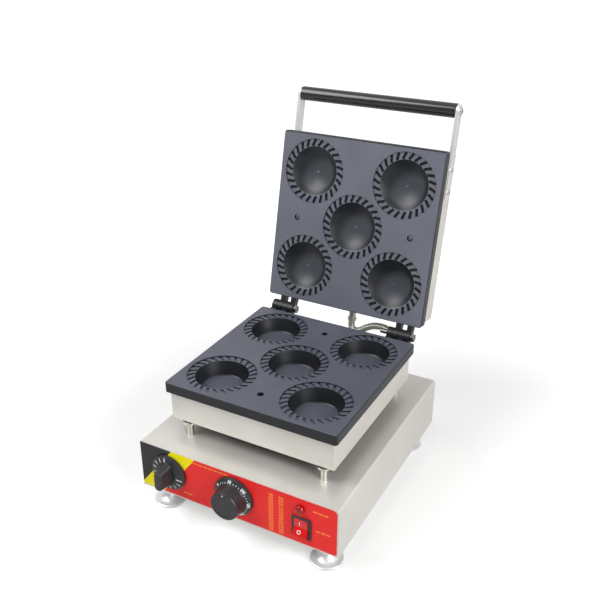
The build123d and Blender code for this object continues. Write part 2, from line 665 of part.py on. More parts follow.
def heater(z):
    """A ring of tubular heater round the middle cup, with its ends side by side at the back."""
    r = HEATER_RING
    tail = PLATE_Y + HEATER_TAIL
    points = [(-HEATER_PIN, tail, z), (-HEATER_PIN, PLATE_Y + r, z)]
    turns = 12
    for k in range(1, turns):
        a = radians(90 + 18 + k * (360 - 36) / turns)
        points.append((1.035 * r * cos(a), PLATE_Y + 1.035 * r * sin(a), z))
    points += [(HEATER_PIN, PLATE_Y + r, z), (HEATER_PIN, tail, z)]
    corner = [6] + [26] * (len(points) - 4) + [6]
    rod = tube(points, corner, HEATER_R)
    pins = [rod_y(tail, tail + 12, x, z, 1.6) for x in (-HEATER_PIN, HEATER_PIN)]
    return rod + pins


def heater_clamps(casting, away):
    """Bridges over the heater, each on two posts against the casting; away is the side the heater is on."""
    made = []
    under, top = casting + away * 2 * HEATER_R, casting + away * (2 * HEATER_R + 2)
    for turn in (180, -90, 90):
        bridge = Pos(0, HEATER_RING, (under + top) / 2) * Box(18, 21, 2)
        for r in (HEATER_RING - 7.5, HEATER_RING + 7.5):
            bridge += rod_z(min(casting, under), max(casting, under), 0, r, 2)
        made.append(Pos(0, PLATE_Y, 0) * Rot(0, 0, turn) * bridge)
    return Compound(children=made)


# ---------------------------------------------------------------- hinge pins


def hinge_bolts():
    """A bolt through each hinge from its right, into the tapped ear at its left."""
    made = []
    for side, tail in ((-1, 0.0), (1, 14.0)):
        head = side * HINGE_X + 2 * LUG_PITCH
        tip = side * HINGE_X - 1.5 * LUG_PITCH - LUG_W / 2 - tail
        bolt = rod_x(tip, head + 0.4, HINGE_Y, HINGE_Z, PIN_R)
        washer = rod_x(head, head + 1.2, HINGE_Y, HINGE_Z, 7.5)
        made.append(bolt + washer + hex_x(head + 1.2, head + 6, HINGE_Y, HINGE_Z, 13))
    return Compound(children=made)


# ---------------------------------------------------------------- lid


def upper_cover():
    """The lid's steel cover over the heater."""
    depth = COVER_BACK - COVER_FRONT
    y = (COVER_BACK + COVER_FRONT) / 2
    outer = slab(COVER_W, depth, COVER_H, HOUSING_BEND, 0, y, LID_BACK_Z)
    outer = fillet(outer.faces().sort_by(Axis.Z)[-1].edges(), HOUSING_BEND)
    inner = slab(COVER_W - 2 * SHEET, depth - 2 * SHEET, COVER_H - SHEET, HOUSING_BEND - SHEET,
                 0, y, LID_BACK_Z)
    holes = [rod_x(-COVER_W, COVER_W, sy, ARM_Z, 2.6) for sy in ARM_SCREW_Y]
    holes.append(rod_y(COVER_BACK - 3, COVER_BACK + 1, LID_GLAND_X, LID_GLAND_Z, HOSE_R + 0.1))
    return opened(outer - inner - holes)


def handle_arm(sx):
    """A flat steel bar from the lid's side to one end of the grip."""
    x0, x1 = sorted((sx * COVER_W / 2, sx * (COVER_W / 2 + ARM_T)))
    bar = block(x0, x1, GRIP_Y, ARM_TAIL_Y, ARM_Z - ARM_W / 2, ARM_Z + ARM_W / 2)
    bar = fillet(bar.edges().filter_by(Axis.X).group_by(Axis.Y)[-1], 5)
    bar += rod_x(x0, x1, GRIP_Y, ARM_Z, ARM_W / 2)
    holes = [rod_x(x0 - 1, x1 + 1, y, ARM_Z, 2.6) for y in ARM_SCREW_Y]
    holes.append(rod_x(x0 - 1, x1 + 1, GRIP_Y, ARM_Z, 4.1))
    return opened(bar - holes)


def side_screw(sx, y, z, x, reach, shank, head):
    """A button-headed screw driven inwards from one side."""
    cap = turned([(0, 0), (head, 0), (head * 0.92, head * 0.3), (head * 0.6, head * 0.5), (0, head * 0.56)],
                 0, 0, 0)
    cap -= hex_z(head * 0.2, head, 0, 0, head * 0.7)
    a, b = sorted((sx * x, sx * (x - reach)))
    return Pos(sx * x, y, z) * Rot(0, sx * 90, 0) * cap + rod_x(a, b, y, z, shank)


def arm_screws():
    """Two screws through each arm into the cover, each with a nut inside."""
    x = COVER_W / 2 + ARM_T
    made = []
    for sx in (-1, 1):
        for y in ARM_SCREW_Y:
            made.append(side_screw(sx, y, ARM_Z, x, 12, 2.5, 4.8))
            a, b = sorted((sx * (COVER_W / 2 - SHEET), sx * (COVER_W / 2 - SHEET - 4)))
            made.append(hex_x(a, b, y, ARM_Z, 8) - rod_x(a - 1, b + 1, y, ARM_Z, 2.5))
    return opened(Compound(children=made))


def handle_grip():
    """The black tube between the arms."""
    half = COVER_W / 2
    body = rod_x(-half, half, GRIP_Y, ARM_Z, GRIP_R)
    body = fillet(body.edges().filter_by(GeomType.CIRCLE), 1)
    return opened(body - rod_x(-half - 1, half + 1, GRIP_Y, ARM_Z, GRIP_ROD_R))


def handle_rod():
    """The steel bar inside the grip, tapped at both ends."""
    half = COVER_W / 2
    bar = rod_x(-half, half, GRIP_Y, ARM_Z, GRIP_ROD_R)
    taps = [rod_x(s * (half - 11) - 11, s * (half - 11) + 11, GRIP_Y, ARM_Z, 4) for s in (-1, 1)]
    return opened(bar - taps)


def handle_end_screws():
    """A screw through the eye of each arm into the handle rod."""
    x = COVER_W / 2 + ARM_T
    return opened(Compound(children=[side_screw(s, GRIP_Y, ARM_Z, x, 24, 3.98, 7.2) for s in (-1, 1)]))


# ---------------------------------------------------------------- hose


def turned_back(x, y, z):
    """A point of the closed lid, carried to the open lid."""
    a = radians(-OPEN_DEG)
    dy, dz = y - HINGE_Y, z - HINGE_Z
    return (x, HINGE_Y + dy * cos(a) - dz * sin(a), HINGE_Z + dy * sin(a) + dz * cos(a))


def hose_gland_lid():
    """The nipple on the back of the lid's cover, with a collar at its end."""
    y0 = COVER_BACK - SHEET
    flange = hex_y(COVER_BACK, COVER_BACK + 3, LID_GLAND_X, LID_GLAND_Z, 17)
    nipple = rod_y(y0 - 5, COVER_BACK + LID_NIPPLE, LID_GLAND_X, LID_GLAND_Z, HOSE_R)
    end = COVER_BACK + LID_NIPPLE
    collar = rod_y(end - 6, end, LID_GLAND_X, LID_GLAND_Z, HOSE_R + 1.8)
    collar = fillet(collar.edges().filter_by(GeomType.CIRCLE), 0.8)
    lock = hex_y(y0 - 4, y0, LID_GLAND_X, LID_GLAND_Z, 17)
    bore = rod_y(y0 - 9, COVER_BACK + LID_NIPPLE + 1, LID_GLAND_X, LID_GLAND_Z, HOSE_BORE_R)
    return opened(flange + nipple + collar + lock - bore)


def hose_gland_base():
    """The nipple on the box's top that the hose comes down to."""
    x, y = BASE_GLAND
    flange = hex_z(BOX_TOP, BOX_TOP + 4, x, y, 19)
    nipple = rod_z(BOX_TOP - 7, BOX_TOP + BASE_NIPPLE, x, y, 6)
    collar = rod_z(BOX_TOP + BASE_NIPPLE - 7, BOX_TOP + BASE_NIPPLE, x, y, HOSE_R + 1.8)
    collar = fillet(collar.edges().filter_by(GeomType.CIRCLE), 0.8)
    lock = hex_z(BOX_TOP - SHEET - 4, BOX_TOP - SHEET, x, y, 19)
    bore = rod_z(BOX_TOP - 8, BOX_TOP + BASE_NIPPLE + 1, x, y, HOSE_BORE_R)
    return flange + nipple + collar + lock - bore


def hose_route():
    """The hose's corner points, from the collar on the lid to the collar on the box."""
    start = turned_back(LID_GLAND_X, COVER_BACK + LID_NIPPLE, LID_GLAND_Z)
    below = turned_back(LID_GLAND_X, COVER_BACK + LID_NIPPLE + 15.5, LID_GLAND_Z)
    x, y = BASE_GLAND
    return [start, below, (24, 196.5, 184), (45, 196.5, 193.5), (66, 195, 197.5), (86, 190.5, 194),
            (102.5, 181, 174), (x, y, 152), (x, y, BOX_TOP + BASE_NIPPLE)]


def lid_hose():
    """The metal hose that carries the lid heater's leads."""
    return tube(hose_route(), [10.5, 30, 40, 40, 28, 34, 40], HOSE_R, HOSE_BORE_R)


def capillary():
    """The thermostat's sensing tube, from its can through the conduit to the bulb."""
    back = INNER_Y + 40
    x, y, z = BULB
    points = [(THERMO_X, back, THERMO_Z), (THERMO_X, back + 40, THERMO_Z), (0, 0, 92), (0, CONDUIT_Y, 92),
              (0, CONDUIT_Y, LEAD_Z + 5), (x, y - 12, LEAD_Z + 5), (x, y - 12, z), (x, y, z)]
    return tube(points, [16, 16, 8, 8, 6, 4], LEAD_R)


def thermostat_bulb():
    """The sensing bulb, held against the underside of the lower plate."""
    x, y, z = BULB
    return rod_y(y, y + 48, x, z, BULB_R)


def heater_leads():
    """Two leads from the lower heater's pins, down through the conduit to the terminals."""
    made = []
    pin = PLATE_Y + HEATER_TAIL + 12
    z = PLATE_BOTTOM - HEATER_R
    for s in (-1, 1):
        port = -115 + 5 * s
        points = [(s * HEATER_PIN, pin, z), (s * HEATER_PIN, pin + 8, z), (s * HEATER_PIN, pin + 8, LEAD_Z),
                  (s * 5, CONDUIT_Y, LEAD_Z), (s * 5, CONDUIT_Y, 104), (port, 100, 104),
                  (port, 100, TERMINAL_Z), (port, 124, TERMINAL_Z)]
        made.append(tube(points, [5] * 6, LEAD_R))
    return Compound(children=made)


def build():
    """Every node of the pie maker."""
    write("base_tray", base_tray())
    write("base_cover", base_cover())
    write("panel_overlay", panel_overlay())
    write("cover_screws", cover_screws())
    sides = {-1: "left", 1: "right"}
    ends = ("front", "rear")
    for sx, k in CORNERS:
        write(f"foot_{ends[k]}_{sides[sx]}", Pos(sx * FOOT_X, FOOT_Y[k], 0) * foot())
    write("foot_bolts", foot_bolts())
    write("foot_pads", foot_pads())
    write("timer_body", timer_body())
    write("timer_nut", panel_nut(TIMER_X, TIMER_Z))
    write("timer_shaft", control_shaft(TIMER_X, TIMER_Z))
    write("timer_knob", timer_knob())
    write("thermostat_body", thermostat_body())
    write("thermostat_nut", panel_nut(THERMO_X, THERMO_Z))
    write("thermostat_shaft", control_shaft(THERMO_X, THERMO_Z))
    write("thermostat_knob", thermostat_knob())
    write("thermostat_capillary", capillary())
    write("thermostat_bulb", thermostat_bulb())
    write("heater_leads", heater_leads())
    write("pilot_lamp_lens", pilot_lamp_lens())
    write("pilot_lamp_body", pilot_lamp_body())
    write("switch_housing", switch_housing())
    write("switch_rocker", switch_rocker())
    write("terminal_block", terminal_block())
    write("cord_gland", cord_gland())
    write("cord_gland_nut", cord_gland_nut())
    for sx in (-1, 1):
        write(f"handle_arm_{sides[sx]}", handle_arm(sx))
    write("support_legs", support_legs())
    write("support_bolts", support_bolts())
    write("lead_conduit", lead_conduit())
    write("lower_housing", lower_housing())
    write("lower_insulation", lower_insulation())
    write("lower_plate", lower_plate())
    write("lower_plate_screws", lower_plate_screws())
    write("lower_heater", heater(PLATE_BOTTOM - HEATER_R))
    write("lower_heater_clamps", heater_clamps(PLATE_BOTTOM, -1))
    write("hinge_bolts", hinge_bolts())
    write("hose_gland_base", hose_gland_base())
    write("hose_gland_lid", hose_gland_lid())
    write("lid_hose", lid_hose())
    write("upper_plate", upper_plate())
    write("upper_plate_screws", upper_plate_screws())
    write("upper_heater", opened(heater(LID_BACK_Z + HEATER_R)))
    write("upper_heater_clamps", opened(heater_clamps(LID_BACK_Z, 1)))
    write("upper_insulation", upper_insulation())
    write("upper_cover", upper_cover())
    write("arm_screws", arm_screws())
    write("handle_grip", handle_grip())
    write("handle_rod", handle_rod())
    write("handle_end_screws", handle_end_screws())


os.makedirs("parts", exist_ok=True)
build()
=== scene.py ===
import json
from math import cos, radians, sin

import bpy
from mathutils import Matrix, Vector

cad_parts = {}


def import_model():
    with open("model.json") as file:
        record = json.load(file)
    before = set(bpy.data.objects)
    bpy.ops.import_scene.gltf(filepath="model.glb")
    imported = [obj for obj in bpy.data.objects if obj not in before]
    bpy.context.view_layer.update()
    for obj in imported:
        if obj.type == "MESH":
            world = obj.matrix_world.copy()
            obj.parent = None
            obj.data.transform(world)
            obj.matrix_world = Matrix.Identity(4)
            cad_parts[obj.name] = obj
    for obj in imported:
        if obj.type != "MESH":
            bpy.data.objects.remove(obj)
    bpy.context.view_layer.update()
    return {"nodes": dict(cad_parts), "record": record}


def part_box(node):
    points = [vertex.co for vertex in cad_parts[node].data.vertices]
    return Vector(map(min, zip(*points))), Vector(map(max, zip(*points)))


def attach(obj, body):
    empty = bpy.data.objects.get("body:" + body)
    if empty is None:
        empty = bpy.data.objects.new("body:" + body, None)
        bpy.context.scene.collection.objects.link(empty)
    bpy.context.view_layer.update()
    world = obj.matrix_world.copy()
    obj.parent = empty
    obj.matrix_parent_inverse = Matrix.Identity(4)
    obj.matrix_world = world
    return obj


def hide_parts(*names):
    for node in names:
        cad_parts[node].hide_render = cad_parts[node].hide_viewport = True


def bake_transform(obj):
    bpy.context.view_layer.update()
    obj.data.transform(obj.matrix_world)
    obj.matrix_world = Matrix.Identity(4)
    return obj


# The looks of an electric pie maker: satin steel box and housings, dark coated plates with fluted cups,
# black knobs on a red, yellow and black film, chromed feet and a metal hose. Metres, in the parts' own frame.

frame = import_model()
MM = 0.001
RIGHT = Vector((1, 0, 0))
OUT = Vector((0, -1, 0))
UP = Vector((0, 0, 1))
WHITE = (1, 1, 1, 1)


# ---------------------------------------------------------------- sizes, shares and strengths

# Surfaces: how high the finest grain is, the tones between which a soft patch fades, and how far down a
# surface looks where its underside gets painted shade.
GRAIN_HEIGHT = 0.4 * MM
PATCH_EDGES = (0.3, 0.7)
FACES_DOWN = -0.5

# Raised print: its thickness on the controls and on the film, of which half stands up, how far it is lifted
# off a sloping face, and how finely the numbers and the ring are rounded.
PRINT = 0.3 * MM
FILM_INK = 0.16 * MM
PRINT_LIFT = 0.12 * MM
ROUND_STEPS = 3
RING_SIDES = 28

# The film's fields: how far their edges lean to the right per metre of height, and where they cross Z = 0.
FILM_LEAN = 0.7715
YELLOW_EDGE = -0.1613
BLACK_EDGE = -0.2045

# The film's rows of bars, in millimetres: left end, right end, height above the floor and height of a bar.
FILM_ROWS = ((130, 155, 104.5, 2.4), (135, 158.6, 71.5, 2.4), (-93.4, -76.7, 51, 2.4),
             (-72.3, -10, 113.5, 2.2))

# The plates' coating, by depth below their face: the fluted ring, the two ends of its grooves, and the cups,
# where painted shade darkens it. The shares say how much of the pale colour is left in the grooves and in the
# lid's domes; the rest is painted shade.
RING_DEPTH = 2.3 * MM
GROOVE_DEPTHS = (5.2 * MM, 2.8 * MM)
CUP_DEPTH = 9.0 * MM
DEPTH_RANGE = 20.0 * MM
GROOVE_SHARE = 0.0
DOME_SHARE = 0.32

# How much a surface turns towards the face: it gets painted shade below the first share and is pale above the
# second. The pale colour drifts to one side, as painted light from that side.
LYING = (0.8, 0.95)
PAINTED_LIGHT_SIDE = (-0.2, 0.0, 0.25)

# How far the pale colour runs on past the lower housing and past the lid's cover, beyond which the hinge ears
# get painted shade, how wide the painted shade along the lid's front rim is, and how many degrees the lid
# stands open.
PAST_HOUSING = 6.5 * MM
PAST_COVER = 0.5 * MM
LID_RIM = 2.4 * MM
LID_OPEN = 102.5

# The hose: its radius, the length of a rib, how deep the groove between two ribs is, how many sides it has
# round it, how finely its line bends, and that line from the lid's collar to the box's, in millimetres.
HOSE_R = 6.2 * MM
HOSE_PITCH = 2.2 * MM
HOSE_GROOVE = 0.35 * MM
HOSE_SIDES = 20
HOSE_STEPS = 24
HOSE_ROUTE = ((3, 202.97, 191.62), (3, 202.3, 188.7), (3, 200.8, 181.9), (7.5, 198.9, 176.2),
              (14.7, 197.6, 174.6), (22.5, 197.1, 178), (33, 196.7, 186), (46, 196.4, 193.6),
              (61, 195.4, 197), (76, 193, 196.6), (89, 189, 190.5), (98.5, 182.5, 178.5), (104, 174, 163),
              (105, 168.5, 148), (105, 168, 133.6))

# The camera: place, the way it looks, lens and sensor in millimetres.
CAMERA_PLACE = (0.5293, -0.9648, 0.8669)
CAMERA_LOOKS = (-0.4263, 0.7873, -0.4454)
CAMERA_LENS = 48.273
CAMERA_SENSOR = 36

# The soft lamps: place, aim, side in metres and power in watts.
KEY_LAMP = ((-1.5, -1.2, 2.3), (0, 0, 0.2), 1.7, 57)
FILL_LAMP = ((2.4, -0.7, 1.5), (0, 0, 0.15), 1.8, 68)

# The studio: its even light, and in mirrors the way to its bright side, how dull the other side is, and where
# along that way the one turns to the other.
SOFT_LIGHT = 0.22
STUDIO_BRIGHT = (0.35, 0.75, 0.56)
STUDIO_DULL = 0.22
STUDIO_TURNS = (-0.9, 0.3)

# The floor: its size, its own glow under the object and far from it, how far off each of these is, and its
# colour and glow in mirrors.
FLOOR_SIZE = 60
FLOOR_SEEN = (0.36, 0.84)
FLOOR_REACH = (0.3, 1.1)
FLOOR_MIRRORED = (0.3, 0.42)


# ---------------------------------------------------------------- places read from the parts


def middle(part):
    """The middle of a part's box."""
    low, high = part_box(part)
    return (low + high) / 2


PANEL_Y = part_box("panel_overlay")[0].y
TIMER = middle("timer_knob")
THERMO = middle("thermostat_knob")
KNOB_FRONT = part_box("thermostat_knob")[0].y
SWITCH = middle("switch_housing")
PLATE_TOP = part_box("lower_plate")[1].z
PLATE_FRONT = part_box("lower_plate")[0].y
PLATE_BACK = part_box("lower_housing")[1].y + PAST_HOUSING


# ---------------------------------------------------------------- materials


def tint(red, green, blue):
    """A colour from screen values, 0 to 255, as linear light."""
    def linear(value):
        share = value / 255
        return share / 12.92 if share <= 0.04045 else ((share + 0.055) / 1.055) ** 2.4
    return (linear(red), linear(green), linear(blue), 1.0)


def grey(share):
    """A grey, from 0 for black to 1 for white."""
    return (share, share, share, 1)


def node(tree, kind, place, **values):
    """A shader node at a place in its tree, with its settings."""
    made = tree.nodes.new(kind)
    made.location = (place[0] * 200, place[1] * 180)
    for name, value in values.items():
        setattr(made, name, value)
    return made


def grain_group():
    """Fine tooling marks: a tone from 0 to 1, and a normal that follows it."""
    tree = bpy.data.node_groups.new("fine_grain", "ShaderNodeTree")
    stretch = tree.interface.new_socket("Stretch", in_out="INPUT", socket_type="NodeSocketVector")
    stretch.default_value = (400, 400, 400)
    depth = tree.interface.new_socket("Depth", in_out="INPUT", socket_type="NodeSocketFloat")
    depth.default_value = 0.1
    tree.interface.new_socket("Tone", in_out="OUTPUT", socket_type="NodeSocketFloat")
    tree.interface.new_socket("Normal", in_out="OUTPUT", socket_type="NodeSocketVector")
    inputs = node(tree, "NodeGroupInput", (0, 0))
    where = node(tree, "ShaderNodeTexCoord", (0, 1))
    scaled = node(tree, "ShaderNodeVectorMath", (1, 1), operation="MULTIPLY")
    noise = node(tree, "ShaderNodeTexNoise", (2, 1))
    noise.inputs["Scale"].default_value = 1
    noise.inputs["Detail"].default_value = 3
    bump = node(tree, "ShaderNodeBump", (3, 0))
    bump.inputs["Distance"].default_value = GRAIN_HEIGHT
    outputs = node(tree, "NodeGroupOutput", (4, 0))
    link = tree.links.new
    link(where.outputs["Object"], scaled.inputs[0])
    link(inputs.outputs["Stretch"], scaled.inputs[1])
    link(scaled.outputs[0], noise.inputs["Vector"])
    link(noise.outputs["Fac"], bump.inputs["Height"])
    link(inputs.outputs["Depth"], bump.inputs["Strength"])
    link(noise.outputs["Fac"], outputs.inputs["Tone"])
    link(bump.outputs["Normal"], outputs.inputs["Normal"])
    return tree


def patches_group():
    """Soft uneven patches, such as handling marks and dust: a mask from 0 to 1."""
    tree = bpy.data.node_groups.new("soft_patches", "ShaderNodeTree")
    size = tree.interface.new_socket("Scale", in_out="INPUT", socket_type="NodeSocketFloat")
    size.default_value = 20
    tree.interface.new_socket("Mask", in_out="OUTPUT", socket_type="NodeSocketFloat")
    inputs = node(tree, "NodeGroupInput", (0, 0))
    where = node(tree, "ShaderNodeTexCoord", (0, 1))
    noise = node(tree, "ShaderNodeTexNoise", (1, 1))
    noise.inputs["Detail"].default_value = 4
    spread = node(tree, "ShaderNodeMapRange", (2, 1))
    spread.inputs["From Min"].default_value, spread.inputs["From Max"].default_value = PATCH_EDGES
    outputs = node(tree, "NodeGroupOutput", (3, 0))
    link = tree.links.new
    link(where.outputs["Object"], noise.inputs["Vector"])
    link(inputs.outputs["Scale"], noise.inputs["Scale"])
    link(noise.outputs["Fac"], spread.inputs["Value"])
    link(spread.outputs["Result"], outputs.inputs["Mask"])
    return tree


GRAIN = grain_group()
PATCHES = patches_group()


def finish_material(name, dark, light, rough, metal=0.0, stretch=(400, 400, 400), depth=0.1, patch=20.0,
                    coat=0.0, specular=0.5):
    """A surface between two close colours in soft patches, with fine grain in its gloss and its normal.

    rough is the least and the most roughness. stretch is the grain's marks per metre along X, Y and Z, and
    depth is how strong they are. patch is how many patches there are to a metre.
    """
    made = bpy.data.materials.new(name)
    made.use_nodes = True
    tree = made.node_tree
    shader = tree.nodes["Principled BSDF"]
    shader.inputs["Metallic"].default_value = metal
    shader.inputs["Coat Weight"].default_value = coat
    shader.inputs["Specular IOR Level"].default_value = specular
    grain = node(tree, "ShaderNodeGroup", (-4, 0), node_tree=GRAIN)
    grain.inputs["Stretch"].default_value = stretch
    grain.inputs["Depth"].default_value = depth
    patches = node(tree, "ShaderNodeGroup", (-4, 2), node_tree=PATCHES)
    patches.inputs["Scale"].default_value = patch
    blend = node(tree, "ShaderNodeMix", (-2, 2), data_type="RGBA")
    blend.inputs["A"].default_value = dark
    blend.inputs["B"].default_value = light
    gloss = node(tree, "ShaderNodeMapRange", (-2, 0))
    gloss.inputs["To Min"].default_value = rough[0]
    gloss.inputs["To Max"].default_value = rough[1]
    link = tree.links.new
    link(patches.outputs["Mask"], blend.inputs["Factor"])
    link(blend.outputs["Result"], shader.inputs["Base Color"])
    link(grain.outputs["Tone"], gloss.inputs["Value"])
    link(gloss.outputs["Result"], shader.inputs["Roughness"])
    link(grain.outputs["Normal"], shader.inputs["Normal"])
    return made


def satin_steel(name):
    """Stainless sheet with a fine brushed grain along its length."""
    return finish_material(name, tint(212, 209, 202), tint(224, 221, 215), (0.36, 0.48), metal=0.5,
                           stretch=(40, 1400, 1400), depth=0.05, patch=9.0)


def heated_steel(name):
    """The same sheet, with painted shade in dark brown on its underside."""
    made = satin_steel(name)
    tree = made.node_tree
    shader = tree.nodes["Principled BSDF"]
    plain = shader.inputs["Base Color"].links[0].from_socket
    where = node(tree, "ShaderNodeTexCoord", (-5, 5))
    parts = node(tree, "ShaderNodeSeparateXYZ", (-4, 5))
    under = node(tree, "ShaderNodeMath", (-3, 5), operation="LESS_THAN")
    under.inputs[1].default_value = FACES_DOWN
    shade = node(tree, "ShaderNodeMix", (-1, 4), data_type="RGBA")
    # painted shade: a dark brown on every surface that faces down
    shade.inputs["B"].default_value = tint(70, 62, 52)
    link = tree.links.new
    link(where.outputs["Normal"], parts.inputs[0])
    link(parts.outputs["Z"], under.inputs[0])
    link(under.outputs[0], shade.inputs["Factor"])
    link(plain, shade.inputs["A"])
    link(shade.outputs["Result"], shader.inputs["Base Color"])
    return made


def plate_coating(name, pale, facing, level, deep, span):
    """Dark non-stick coating on a cast plate, paler along its face; near black as painted shade on edges, in
    grooves and on the hinge ears, with the pale colour drifting to one side as painted light.

    pale is the face's two colours, facing is the way that it looks and level is how far along that it lies.
    deep is the share of the pale colour in the cups, where the rest is painted shade. span is the way from
    front to back along the face, and where the pale part begins and ends along it, short of the hinge ears,
    which get painted shade.
    """
    made = finish_material(name, *pale, (0.3, 0.42), stretch=(900, 900, 900), depth=0.08, patch=14.0,
                           specular=0.4)
    tree = made.node_tree
    shader = tree.nodes["Principled BSDF"]
    face = shader.inputs["Base Color"].links[0].from_socket
    link = tree.links.new
    where = node(tree, "ShaderNodeTexCoord", (-8, 5))
    turned = node(tree, "ShaderNodeVectorMath", (-7, 7), operation="DOT_PRODUCT")
    # painted light and shade: surfaces turned towards the face, and a little to one side, stay pale
    turned.inputs[1].default_value = (Vector(facing) + Vector(PAINTED_LIGHT_SIDE)).normalized()
    lying = node(tree, "ShaderNodeMapRange", (-6, 7), interpolation_type="SMOOTHSTEP")
    lying.inputs["From Min"].default_value, lying.inputs["From Max"].default_value = LYING
    along = node(tree, "ShaderNodeVectorMath", (-7, 5), operation="DOT_PRODUCT")
    along.inputs[1].default_value = facing
    sunk = node(tree, "ShaderNodeMapRange", (-6, 5))
    sunk.inputs["From Min"].default_value = level - DEPTH_RANGE
    sunk.inputs["From Max"].default_value = level
    # painted shade by depth: the grooves go near black, and the cups and domes keep a share of the pale
    # colour
    ramp = node(tree, "ShaderNodeValToRGB", (-5, 5))
    stops = ramp.color_ramp.elements
    stops[0].position = 1 - CUP_DEPTH / DEPTH_RANGE
    stops[0].color = grey(deep)
    stops[1].position = 1 - RING_DEPTH / DEPTH_RANGE
    for groove in GROOVE_DEPTHS:
        stops.new(1 - groove / DEPTH_RANGE).color = grey(GROOVE_SHARE)
    way, begins, ends = span
    # painted shade on the lid's front rim and on the hinge ears, which lie outside this span
    back = node(tree, "ShaderNodeVectorMath", (-7, 3), operation="DOT_PRODUCT")
    back.inputs[1].default_value = way
    within = node(tree, "ShaderNodeMath", (-6, 3), operation="COMPARE")
    within.inputs[1].default_value = (ends + begins) / 2
    within.inputs[2].default_value = (ends - begins) / 2
    flat = node(tree, "ShaderNodeMath", (-3, 6), operation="MULTIPLY")
    kept = node(tree, "ShaderNodeMath", (-2, 5), operation="MULTIPLY")
    shade = node(tree, "ShaderNodeMix", (-1, 4), data_type="RGBA")
    # near black painted shade, mixed in wherever the masks above are low
    shade.inputs["A"].default_value = tint(27, 29, 33)
    link(where.outputs["Normal"], turned.inputs[0])
    link(turned.outputs["Value"], lying.inputs["Value"])
    link(where.outputs["Object"], along.inputs[0])
    link(along.outputs["Value"], sunk.inputs["Value"])
    link(sunk.outputs["Result"], ramp.inputs["Fac"])
    link(where.outputs["Object"], back.inputs[0])
    link(back.outputs["Value"], within.inputs[0])
    link(lying.outputs["Result"], flat.inputs[0])
    link(ramp.outputs["Color"], flat.inputs[1])
    link(flat.outputs[0], kept.inputs[0])
    link(within.outputs[0], kept.inputs[1])
    link(kept.outputs[0], shade.inputs["Factor"])
    link(face, shade.inputs["B"])
    link(shade.outputs["Result"], shader.inputs["Base Color"])
    return made


def film_material():
    """The front film: black, yellow and red fields divided by slanted lines."""
    made = finish_material("panel_film", tint(232, 40, 38), tint(240, 47, 43), (0.3, 0.4),
                           stretch=(300, 300, 300), depth=0.03, patch=12.0, specular=0.22)
    tree = made.node_tree
    shader = tree.nodes["Principled BSDF"]
    under = shader.inputs["Base Color"].links[0].from_socket
    where = node(tree, "ShaderNodeTexCoord", (-6, 4))
    parts = node(tree, "ShaderNodeSeparateXYZ", (-5, 4))
    lean = node(tree, "ShaderNodeMath", (-4, 4), operation="MULTIPLY_ADD")
    lean.inputs[1].default_value = -FILM_LEAN
    link = tree.links.new
    link(where.outputs["Object"], parts.inputs[0])
    link(parts.outputs["Z"], lean.inputs[0])
    link(parts.outputs["X"], lean.inputs[2])
    for edge, ink, column in ((YELLOW_EDGE, tint(246, 232, 12), -3), (BLACK_EDGE, tint(50, 50, 51), -2)):
        left = node(tree, "ShaderNodeMath", (column, 5), operation="LESS_THAN")
        left.inputs[1].default_value = edge
        field = node(tree, "ShaderNodeMix", (column + 1, 4), data_type="RGBA")
        field.inputs["B"].default_value = ink
        link(lean.outputs[0], left.inputs[0])
        link(left.outputs[0], field.inputs["Factor"])
        link(under, field.inputs["A"])
        under = field.outputs["Result"]
    link(under, shader.inputs["Base Color"])
    return made


def clear_red(name, dark, light):
    """Red moulded plastic with a clear gloss."""
    return finish_material(name, dark, light, (0.12, 0.2), stretch=(200, 200, 200), depth=0.02, patch=60.0,
                           coat=0.5, specular=0.3)


